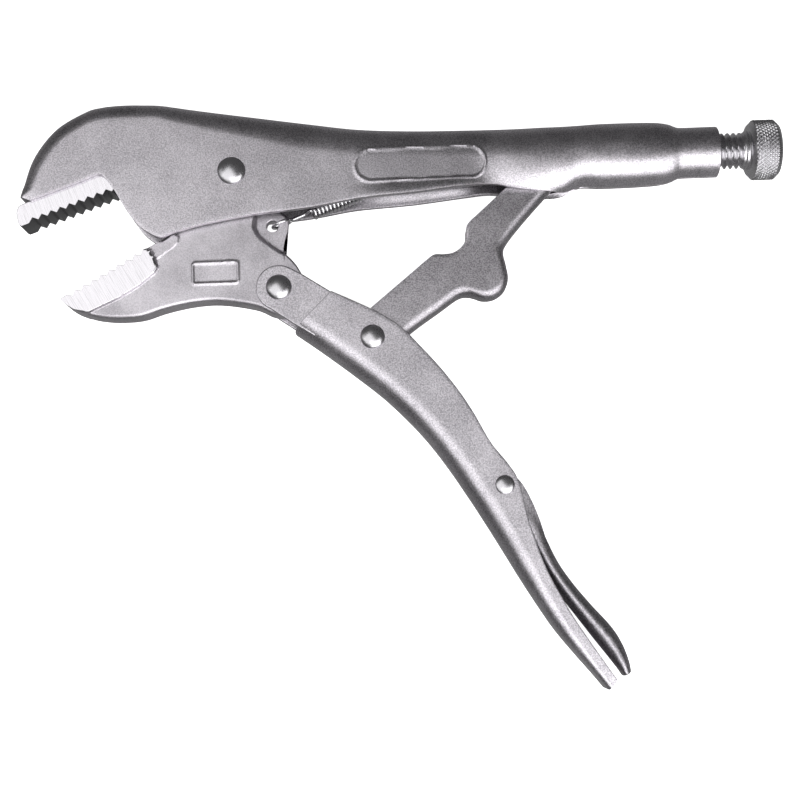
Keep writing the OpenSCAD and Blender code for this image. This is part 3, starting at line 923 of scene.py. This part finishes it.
@dataclass(frozen=True)
class ToothLine:
    """A serrated line: a flat land, then square grooves."""

    start: tuple[float, float]
    angle: float
    land: float
    side: float
    pitch: float = 3.2
    count: int = 9
    depth: float = 1.34

    def points(self, per_flank: int = 1) -> Array:
        """Corners of the line, with extra points on each flank where asked."""
        steps = [(i + h) * self.pitch for i in range(self.count) for h in (0.5, 1.0)]
        along = [0.0, self.land] + [self.land + step for step in steps]
        deep = [0.0, 0.0] + [d for _ in range(self.count) for d in (self.depth, 0.0)]
        a, d = np.array(along), np.array(deep) * self.side
        fine = np.linspace(0, len(a) - 1, (len(a) - 1) * per_flank + 1)
        a, d = np.interp(fine, np.arange(len(a)), a), np.interp(fine, np.arange(len(d)), d)
        c, s = math.cos(math.radians(self.angle)), math.sin(math.radians(self.angle))
        return np.stack([self.start[0] + a * c - d * s, self.start[1] + a * s + d * c], axis=1)


@dataclass
class FixedJaw:
    """The fixed jaw insert, a plate with one serrated side."""

    bench: Bench
    half: float = 6.35
    line: ToothLine = ToothLine((-69.4, -15.3), 19.4, 2.8, 1.0)

    def build(self, material: bpy.types.Material) -> None:
        """Makes the jaw."""
        nose = np.array([[-66, -6.9], [-69.6, -8.2], [-70.3, -8.7], [-70.9, -10.2], [-71, -11.0],
                         [-70.5, -14.0],
                         [-70.1, -14.9]])
        hidden = np.array([[-38, -3], [-36.5, 2], [-37, 14], [-44, 15.2], [-51.5, 10.6], [-57, 4],
                           [-60.5, -2]])
        outline = np.concatenate([nose, self.line.points(), hidden])
        plate = bevelled_plate(outline, -self.half, self.half, 0.16)
        dress(self.bench.piece("fixed_jaw_insert", plate, 25), material, Finish.JAW, "fixed_handle",
              "upper_jaw")


@dataclass
class MovingJaw:
    """The moving jaw forging: serrated block, web, pads, spring ear and pivot bosses.

    Both faces are the height of one function of the plan: the block stands proud of the web on a
    sloped shoulder, the pads a little, the ear drops back, and every outer edge is rounded.
    """

    bench: Bench
    block_half: float = 6.35
    web_half: float = 5.15
    ear_half: float = 2.2
    boss_half: float = 6.1
    boss_radius: float = 8.0
    line: ToothLine = ToothLine((-56.3, -39.5), 29.3, 1.6, -1.0)
    eye: tuple[float, float] = SPRING_EYE
    eye_radius: float = 2.05
    pad_centre: tuple[float, float] = (-6.4, -33.15)
    pad_half: tuple[float, float] = (8.0, 4.05)
    pad_corner: float = 1.3
    pad_rise: float = 0.35
    across_steps: int = 120

    def lower_curve(self, count: int) -> Array:
        """The underside from the nose to the rear of the handle pivot."""
        points = [(-57.0, -40.1), (-55.3, -41.8), (-52.4, -43.7), (-49.2, -45.1), (-45, -46.3),
                  (-38.7, -47.0),
                  (-31, -46.6), (-23.4, -44.4), (-14.1, -42.7), (-4.9, -42.5), (6.2, -44.6),
                  (12.5, -47.4),
                  (18, -47.3), (21.8, -44.6), (23.1, -41.0)]
        return resample(spline(points, 12), count)

    def upper_curve(self, count: int) -> Array:
        """The serrations, the top of the web, over the pivot boss, and down the spring ear."""
        teeth = self.line.points(7)
        web = spline([(-28.9, -24.4), (-21, -19.6), (-14.5, -12), (-8.5, -1), (-5, 6), (0, 8), (5.4, 6),
                      (8.4, -2),
                      (12.5, -10), (17.2, -14.2), (17.6, -17.6), (16.7, -20.4), (15.8, -24.2),
                      (16.4, -27),
                      (18.4, -29.2), (20.4, -31.8), (22.4, -36), (23.1, -41.0)], 12)
        front = resample(np.array([[-57.0, -40.1], *teeth[:1]]), 4)[:-1]
        return np.concatenate([front, teeth, resample(web, count - len(teeth) - len(front))])

    def half_thickness(self, plan: Array, to_edge: Array) -> Array:
        """Half thickness of the forging over its plan."""
        block = [(-60, -41), (-54, -35), (-29.3, -24.0), (-27.6, -25.2), (-26.2, -27.9), (-25.3, -30.5),
                 (-26.3, -32.2), (-31, -36), (-37.5, -39.9), (-49.0, -45.0), (-53, -46), (-60, -44)]
        strip = [(-32, -24), (-29.0, -22.0), (-21.5, -17.5), (-17.9, -20.9), (-18.4, -22.8),
                 (-26.6, -28.8), (-30, -29)]
        ear = [(6.2, -9), (6.6, -14.4), (6.1, -18.1), (7.1, -20.5), (8.8, -22.6), (11.8, -24.9),
               (15.8, -27.7),
               (19.5, -27.6), (26, -9)]
        height = np.full(plan.shape[:-1], self.web_half)
        on_ear = smoothstep(-0.2, 1.1, polygon_distance(plan, ear))
        height = height * (1 - on_ear) + self.ear_half * on_ear
        on_strip = smoothstep(-0.12, 0.14, polygon_distance(plan, strip))
        height = height + 0.5 * on_strip
        reach = np.abs(plan - np.array(self.pad_centre)) - (np.array(self.pad_half) - self.pad_corner)
        away = (np.linalg.norm(np.maximum(reach, 0.0), axis=-1) + np.minimum(reach.max(axis=-1), 0.0)
                - self.pad_corner)
        height = height + self.pad_rise * (1 - smoothstep(0.15, 0.55, np.abs(away + 0.6)))
        on_block = smoothstep(-0.55, 0.0, polygon_distance(plan, block))
        height = height + (self.block_half - height) * on_block
        from_pivot = np.hypot(plan[..., 0], plan[..., 1])
        height = np.maximum(height, self.boss_half - 3.9 * smoothstep(self.boss_radius - 0.6,
                                                                      self.boss_radius, from_pivot))
        crisp = smoothstep(-0.5, 0.5, polygon_distance(plan,
                                                       [(-62, -44), (-54, -33), (-24, -17), (-24, -27),
                                                        (-48, -44)]))
        radius = 1.25 * (1 - crisp) + 0.14 * crisp
        near = np.clip(1 - to_edge / radius, 0.0, 1.0)
        return height - radius * (1 - np.sqrt(np.maximum(1 - near**2, 0.0)))

    def build(self, material: bpy.types.Material) -> None:
        """Makes the forging and bores the eye for the spring."""
        count = 330
        low, high = self.lower_curve(count), self.upper_curve(count)
        eased = 0.5 - 0.5 * np.cos(np.linspace(0, math.pi, self.across_steps))
        spread = 0.25 * np.linspace(0, 1, self.across_steps) + 0.75 * eased
        plan = low[:, None] * (1 - spread[None, :, None]) + high[:, None] * spread[None, :, None]
        reach = np.linalg.norm(high - low, axis=1)[:, None]
        to_edge = np.minimum(spread, 1 - spread)[None] * reach
        half = self.half_thickness(plan, to_edge)
        near = np.concatenate([plan, half[..., None]], axis=2)
        far = near[:, ::-1] * np.array([1.0, 1.0, -1.0])
        side = np.linspace(1.0, -1.0, 9)[None, 1:-1, None]
        top = near[:, -1:] * np.concatenate([np.ones((1, 7, 2)), side], axis=2)
        bottom = near[:, :1] * np.concatenate([np.ones((1, 7, 2)), -side], axis=2)
        surface = Surface.rings(np.concatenate([near, top, far, bottom], axis=1))
        jaw = self.bench.piece("moving_jaw_forging", surface, 50)
        drill = turned(np.array([[0, -9], [self.eye_radius, -9], [self.eye_radius, 9], [0, 9]], float),
                       40)
        drill.points[:, :2] += np.array(self.eye)
        bore(jaw, self.bench.piece("eye_drill", drill))
        dress(jaw, material, Finish.JAW, "moving_jaw", "lower_jaw")


def bore(piece: bpy.types.Object, drill: bpy.types.Object) -> None:
    """Cuts a drill's shape out of a piece, and removes the drill."""
    cut = piece.modifiers.new("bore", "BOOLEAN")
    cut.operation = "DIFFERENCE"
    cut.solver = "EXACT"
    cut.object = drill
    bpy.context.view_layer.update()
    graph = bpy.context.evaluated_depsgraph_get()
    done = bpy.data.meshes.new_from_object(piece.evaluated_get(graph))
    piece.modifiers.clear()
    piece.data = done
    bpy.data.objects.remove(drill)


# --- Rivets, screw and spring ------------------------------------------------------


@dataclass(frozen=True)
class Rivet:
    """One rivet: where it is, how thick, how wide its heads are, and what it grips."""

    name: str
    node: str
    body: str
    at: tuple[float, float]
    shank: float
    head: float
    grip_half: float
    rise: float

    def surface(self) -> Surface:
        """A shank between two domed heads with a small flat brim and an eased lip.

        The head's profile is part of a circle, and the lip a small quarter turn under it.
        """
        brim, lip = self.head / 2, 0.25
        turn = np.linspace(0.0, 1.0, 18)
        dome_r = brim * np.sin(turn * math.pi / 2)
        dome_z = self.grip_half + lip + (self.rise - lip) * np.cos(turn * math.pi / 2) ** 1.15
        head = np.stack([dome_r, dome_z], axis=1)
        under = np.array([[brim, self.grip_half + 0.06], [brim - 0.06, self.grip_half],
                          [self.shank / 2, self.grip_half], [self.shank / 2, 0.0]])
        upper = np.concatenate([head, under])
        lower = (upper * np.array([1.0, -1.0]))[:-1][::-1]
        made = turned(np.concatenate([upper, lower]), 56)
        made.points[:, :2] += np.array(self.at)
        return made

    def build(self, bench: Bench, material: bpy.types.Material) -> None:
        """Makes the rivet."""
        dress(bench.piece(self.name, self.surface()), material, Finish.RIVET, self.body, self.node)


@dataclass
class AdjustingScrew:
    """The adjusting screw: a rolled thread, a collar and a diamond-knurled head."""

    bench: Bench
    axis_y: float = 2.8
    thread_radius: float = 6.0
    pitch: float = 2.0
    thread_depth: float = 1.25
    tip_x: float = 122.9
    collar_x: float = 170.4
    head_x: float = 171.8
    end_x: float = 181.8
    head_radius: float = 10.0
    chamfer: float = 1.2
    knurls: int = 46
    knurl_depth: float = 0.5
    knurl_lead: float = 1.75

    def around_x(self, x: Array, radius: Array) -> Surface:
        """Skin of rings about the screw's axis: x by ring, radius by ring and turn."""
        turn = np.linspace(0.0, 2 * math.pi, radius.shape[1], endpoint=False)[None]
        return Surface.rings(np.stack([x[:, None] + 0 * turn, self.axis_y + radius * np.cos(turn),
                                       radius * np.sin(turn)], axis=-1))

    def thread(self) -> Surface:
        """The threaded shank: the radius falls by a vee of the distance along, less the turn."""
        x = np.arange(self.tip_x + 3.0, self.collar_x + 0.4, self.pitch / 12)
        turn = np.linspace(0.0, 2 * math.pi, 72, endpoint=False)[None]
        phase = (x[:, None] / self.pitch - turn / (2 * math.pi)) % 1.0
        vee = np.clip(np.abs(2 * phase - 1) * 1.25 - 0.12, 0.0, 1.0)
        fade = smoothstep(0.0, 2.0, x - x[0]) * (1 - smoothstep(-1.2, -0.2, x - self.collar_x))
        radius = self.thread_radius - self.thread_depth * vee * fade[:, None]
        lead_in = np.clip((x - x[0]) / 1.8, 0.0, 1.0)[:, None]
        radius = np.minimum(radius, self.thread_radius - 1.8 * (1 - lead_in))
        nose = np.array([[0.0, self.tip_x], [3.4, self.tip_x], [4.0, self.tip_x + 0.6],
                         [4.0, self.tip_x + 2.4]])
        start = np.repeat(nose[:, :1], 72, axis=1)
        end = np.full((1, 72), 0.0)
        return self.around_x(np.concatenate([nose[:, 1], x, x[-1:]]),
                             np.concatenate([start, radius, end]))

    def head(self) -> Surface:
        """The collar and knurled head.

        Two families of grooves cross on the rim: the height is the lower of two triangle waves of
        the turn plus and minus the distance along, with their tops cut flat.
        """
        rim = np.arange(self.head_x + self.chamfer, self.end_x - self.chamfer, 0.17)
        turn = np.linspace(0.0, 1.0, self.knurls * 8, endpoint=False)[None]
        skew = (rim[:, None] - rim[0]) / self.knurl_lead

        def wave(u: Array) -> Array:
            """Triangle wave from 0 to 1 and back over each whole number."""
            return 1.0 - np.abs(2.0 * (u % 1.0) - 1.0)

        height = np.minimum(np.minimum(wave(turn * self.knurls + skew),
                                       wave(turn * self.knurls - skew)), 0.62) / 0.62
        fade = smoothstep(0.0, 0.35, rim - rim[0]) * smoothstep(0.0, 0.35, rim[-1] - rim)
        body = self.head_radius - self.knurl_depth * (1 - height * fade[:, None])
        collar = self.thread_radius + 0.45
        low = self.head_radius - self.knurl_depth
        before = [(0.0, self.collar_x), (collar - 0.3, self.collar_x), (collar, self.collar_x + 0.3),
                  (collar, self.head_x - 0.25), (collar + 0.25, self.head_x),
                  (low - self.chamfer - 0.1, self.head_x),
                  (low - self.chamfer + 0.1, self.head_x + 0.08),
                  (low - 0.1, self.head_x + self.chamfer - 0.1)]
        after = [(low - 0.1, self.end_x - self.chamfer + 0.1),
                 (low - self.chamfer + 0.1, self.end_x - 0.08),
                 (low - self.chamfer - 0.15, self.end_x), (2.2, self.end_x), (1.7, self.end_x - 0.5),
                 (0.0, self.end_x - 0.9)]
        n = body.shape[1]
        rings = np.concatenate([np.repeat(np.array(before)[:, :1], n, axis=1), body,
                                np.repeat(np.array(after)[:, :1], n, axis=1)])
        return self.around_x(np.concatenate([np.array(before)[:, 1], rim, np.array(after)[:, 1]]),
                             rings)

    def build(self, material: bpy.types.Material) -> None:
        """Makes the screw as one piece."""
        screw = self.bench.piece("knurled_screw", self.thread() + self.head(), 32)
        dress(screw, material, Finish.SCREW, "screw", "adjusting_screw")


@dataclass
class ReturnSpring:
    """The close-wound tension spring with a round hook at each end."""

    bench: Bench
    eye: tuple[float, float] = SPRING_EYE
    tab: tuple[float, float] = SPRING_TAB
    coil_radius: float = 2.45
    wire: float = 0.55
    coil_pitch: float = 1.34
    hook_radius: float = 3.2
    neck: float = 7.2
    soft_run: float = 26.0

    def frame(self) -> tuple[Array, Array, float]:
        """Start point, direction and length of the spring's own axis."""
        start = np.array([*self.eye, 0.0])
        run = np.array([*self.tab, 0.0]) - start
        length = float(np.linalg.norm(run))
        return start, run / length, length

    def surface(self) -> Surface:
        """Hook, neck, coils, neck and hook, each a round wire along its own curve.

        The coils are a helix about the axis; a hook is most of a circle in the plane of the axis
        and the pivots, so that it passes through its hole.
        """
        start, ahead, length = self.frame()
        up = np.array([0.0, 0.0, 1.0])
        side = np.cross(up, ahead)
        first, last = 2 * self.hook_radius + self.neck, length - 2 * self.hook_radius - 1.4
        turns = (last - first) / self.coil_pitch
        t = np.linspace(0.0, 1.0, int(turns * 22))[:, None]
        angle = 2 * math.pi * turns * t
        spoke = np.cos(angle) * up + np.sin(angle) * side
        coils = start + ahead * (first + (last - first) * t) + spoke * self.coil_radius
        made = tube(coils, self.wire, spoke)
        for centre, toward in ((self.hook_radius, 1.0), (length - self.hook_radius, -1.0)):
            angle = np.linspace(math.radians(28), math.radians(345), 40)[:, None]
            ring = start + ahead * centre + self.hook_radius * (np.cos(angle) * ahead * toward
                                                                + np.sin(angle) * up)
            made = made + tube(ring, self.wire, np.repeat(side[None], len(ring), axis=0))
        bend = spline([(2 * self.hook_radius - 0.3, 0.9, 0), (2 * self.hook_radius + 1.2, 0.2, 0),
                       (first - 2.2, 0.4, 0), (first - 0.7, 1.7, 0.2),
                       (first + 0.1, self.coil_radius, 0.0)], 8)
        neck = start + ahead * bend[:, :1] + up * bend[:, 1:2] + side * bend[:, 2:3]
        made = made + tube(neck, self.wire, np.repeat(side[None], len(neck), axis=0))
        rear = spline([(last, self.coil_radius, 0), (last + 0.6, 1.4, 0),
                       (length - 2 * self.hook_radius, 0.3, 0)], 6)
        tail = start + ahead * rear[:, :1] + up * rear[:, 1:2] + side * rear[:, 2:3]
        return made + tube(tail, self.wire, np.repeat(side[None], len(tail), axis=0))

    def build(self, material: bpy.types.Material) -> None:
        """Makes the spring."""
        spring = self.bench.piece("tension_spring", self.surface(), 60)
        spring.data.materials.append(material)
        start, ahead, _ = self.frame()
        near, far = start + ahead * 2.0, start + ahead * self.soft_run
        self.bench.at(*far)
        self.bench.at(*near)
        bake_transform(spring)
        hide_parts("return_spring")


# --- Studio -----------------------------------------------------------------------


@dataclass
class Studio:
    """Pale floor, soft lights and the camera, placed about the middle of the tool."""

    centre: Vector
    lens: float = 67.7
    distance: float = 0.4925
    azimuth_deg: float = 4.67
    elevation_deg: float = 82.8
    roll_deg: float = 2.41
    aim_shift: tuple[float, float] = (-0.00305, -0.0031)

    def camera(self) -> None:
        """Camera almost straight above, leaning back from the open side of the tool."""
        a, e = math.radians(self.azimuth_deg), math.radians(self.elevation_deg)
        view = Vector((math.sin(a) * math.cos(e), math.cos(a) * math.cos(e), -math.sin(e)))
        flat = view.cross(Vector((0, 0, 1))).normalized()
        over = flat.cross(view)
        roll = math.radians(self.roll_deg)
        right = flat * math.cos(roll) + over * math.sin(roll)
        up = right.cross(view)
        data = bpy.data.cameras.new("camera")
        data.lens, data.sensor_width, data.clip_start = self.lens, 36.0, 0.01
        eye = bpy.data.objects.new("camera", data)
        aim = self.centre + Vector((*self.aim_shift, 0.0))
        turn = Matrix((right, up, -view)).transposed().to_4x4()
        eye.matrix_world = Matrix.Translation(aim - view * self.distance) @ turn
        bpy.context.scene.collection.objects.link(eye)
        bpy.context.scene.camera = eye

    def light(self, name: str, at: Sequence[float], size: Sequence[float], watts: float,
              along: Sequence[float] = (1.0, 0.0, 0.0)) -> None:
        """A soft rectangle of light that faces the tool, with its long side turned a given way."""
        data = bpy.data.lights.new(name, "AREA")
        data.shape, data.size, data.size_y, data.energy = "RECTANGLE", size[0], size[1], watts
        lamp = bpy.data.objects.new(name, data)
        away = Vector(at).normalized()
        side = Vector(along)
        side = (side - side.dot(away) * away).normalized()
        turn = Matrix((side, away.cross(side), away)).transposed().to_4x4()
        lamp.matrix_world = Matrix.Translation(self.centre + Vector(at)) @ turn
        bpy.context.scene.collection.objects.link(lamp)

    def floor(self) -> None:
        """A wide pale floor under the tool."""
        half = 60.0
        mesh = bpy.data.meshes.new("floor")
        corners = [(-half, -half, 0), (half, -half, 0), (half, half, 0), (-half, half, 0)]
        mesh.from_pydata(corners, [], [(0, 1, 2, 3)])
        paint = Paint("pale floor")
        paint.set(Base_Color=(0.92, 0.92, 0.92, 1.0), Roughness=0.85,
                  Emission_Color=(1.0, 1.0, 1.0, 1.0),
                  Emission_Strength=1.0)
        mesh.materials.append(paint.material)
        floor = bpy.data.objects.new("floor", mesh)
        floor.visible_glossy = False
        bpy.context.scene.collection.objects.link(floor)
        floor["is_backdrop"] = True

    def sky(self) -> None:
        """Surroundings that are dark above the horizon and lighter below it."""
        world = bpy.data.worlds.new("studio")
        bpy.context.scene.world = world
        world.use_nodes = True
        tree = world.node_tree
        tree.nodes.clear()
        coords = tree.nodes.new("ShaderNodeTexCoord")
        parts = tree.nodes.new("ShaderNodeSeparateXYZ")
        ramp = tree.nodes.new("ShaderNodeMapRange")
        back = tree.nodes.new("ShaderNodeBackground")
        out = tree.nodes.new("ShaderNodeOutputWorld")
        tree.links.new(coords.outputs["Generated"], parts.inputs[0])
        tree.links.new(parts.outputs[2], ramp.inputs[0])
        for i, value in enumerate((-0.5, 0.05, 0.32, 0.11), start=1):
            ramp.inputs[i].default_value = value
        tree.links.new(ramp.outputs[0], back.inputs["Strength"])
        tree.links.new(back.outputs[0], out.inputs[0])

    def build(self) -> None:
        """Sets the whole stage."""
        self.camera()
        self.floor()
        self.sky()
        self.light("overhead", (-0.36, -0.11, 0.9), (1.0, 0.9), 4.4, (0.8, 0.6, 0.0))
        self.light("front right", (0.28, -0.54, 0.56), (1.0, 0.9), 7.9)
        self.light("left", (-0.8, 0.1, 0.5), (0.5, 0.5), 0.5)
        bpy.context.scene.view_settings.view_transform = "Standard"


# --- Putting it together ------------------------------------------------------------


def plain_box(box: Sequence[Sequence[float]]) -> list[list[float]]:
    """A box as plain lists."""
    return [[float(v) for v in corner] for corner in box]


def main() -> None:
    """Builds every piece of the tool and its stage."""
    logging.basicConfig(level=logging.INFO, format="%(name)s %(message)s")
    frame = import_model()
    cad_box = plain_box(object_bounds())
    joints = {j["name"]: j for j in frame["joints"]}
    bench = Bench(Vector(joints["jaw_closing"]["pos_m"]))
    low, high = Vector(cad_box[0]), Vector(cad_box[1])
    Studio((low + high) / 2).build()

    jaw_low, jaw_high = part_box("upper_jaw")
    blasted = BlastedSteel("blasted plated steel").build()
    # Darker blasted steel for the toggle link; on the release lever the same darker tone is painted
    # shade, standing in for the shadow under the moving handle.
    darker_steel_and_lever_shade = BlastedSteel("darker blasted steel, painted shade on lever", roughness=0.40, light=(0.60, 0.575, 0.61),
                              dark=(0.21, 0.20, 0.215)).build()
    weld = BrightSteel("weld spots", roughness=0.3).build()
    rivet_steel = BrightSteel("tumbled rivet steel", light=(0.62, 0.61, 0.63), dark=(0.42, 0.41, 0.43),
                              roughness=0.28).build()
    wire = BrightSteel("spring wire", roughness=0.2, marks_mm=0.3).build()
    screw_steel = BrightSteel("plated screw steel", light=(0.66, 0.65, 0.67), dark=(0.45, 0.44, 0.46),
                              roughness=0.27).build()
    fixed_jaw = MilledJaw("milled fixed jaw", jaw_low[2], jaw_high[2], 19.4, tooth_mask=True).build()
    moving_jaw = MilledJaw("milled moving jaw", jaw_low[2], jaw_high[2], 29.3).build()

    FixedHandle(bench).build(blasted, weld)
    FixedJaw(bench).build(fixed_jaw)
    MovingJaw(bench).build(moving_jaw)
    MovingHandle(bench).build(blasted)
    ToggleLink(bench).build(darker_steel_and_lever_shade)
    # Painted shade: the release lever takes the darker steel so that it reads as lying in shadow.
    ReleaseLever(bench).build(darker_steel_and_lever_shade)
    AdjustingScrew(bench).build(screw_steel)
    ReturnSpring(bench).build(wire)
    rivets = [
        Rivet("jaw_rivet", "jaw_pivot_rivet", "fixed_handle", (0, 0), 6.4, 9.2, CHANNEL_HALF, 2.0),
        Rivet("handle_rivet", "handle_pivot_rivet", "moving_handle", HANDLE_PIVOT, 5.6, 8.4, 7.4, 2.0),
        Rivet("link_rivet", "link_pivot_rivet", "moving_handle", LINK_PIVOT, 5.2, 8.0, CHANNEL_HALF,
              2.0),
        Rivet("lever_rivet", "lever_pivot_rivet", "moving_handle", LEVER_PIVOT, 3.4, 6.2, CHANNEL_HALF,
              1.2)]
    for rivet in rivets:
        rivet.build(bench, rivet_steel)


if __name__ == "__main__":
    main()
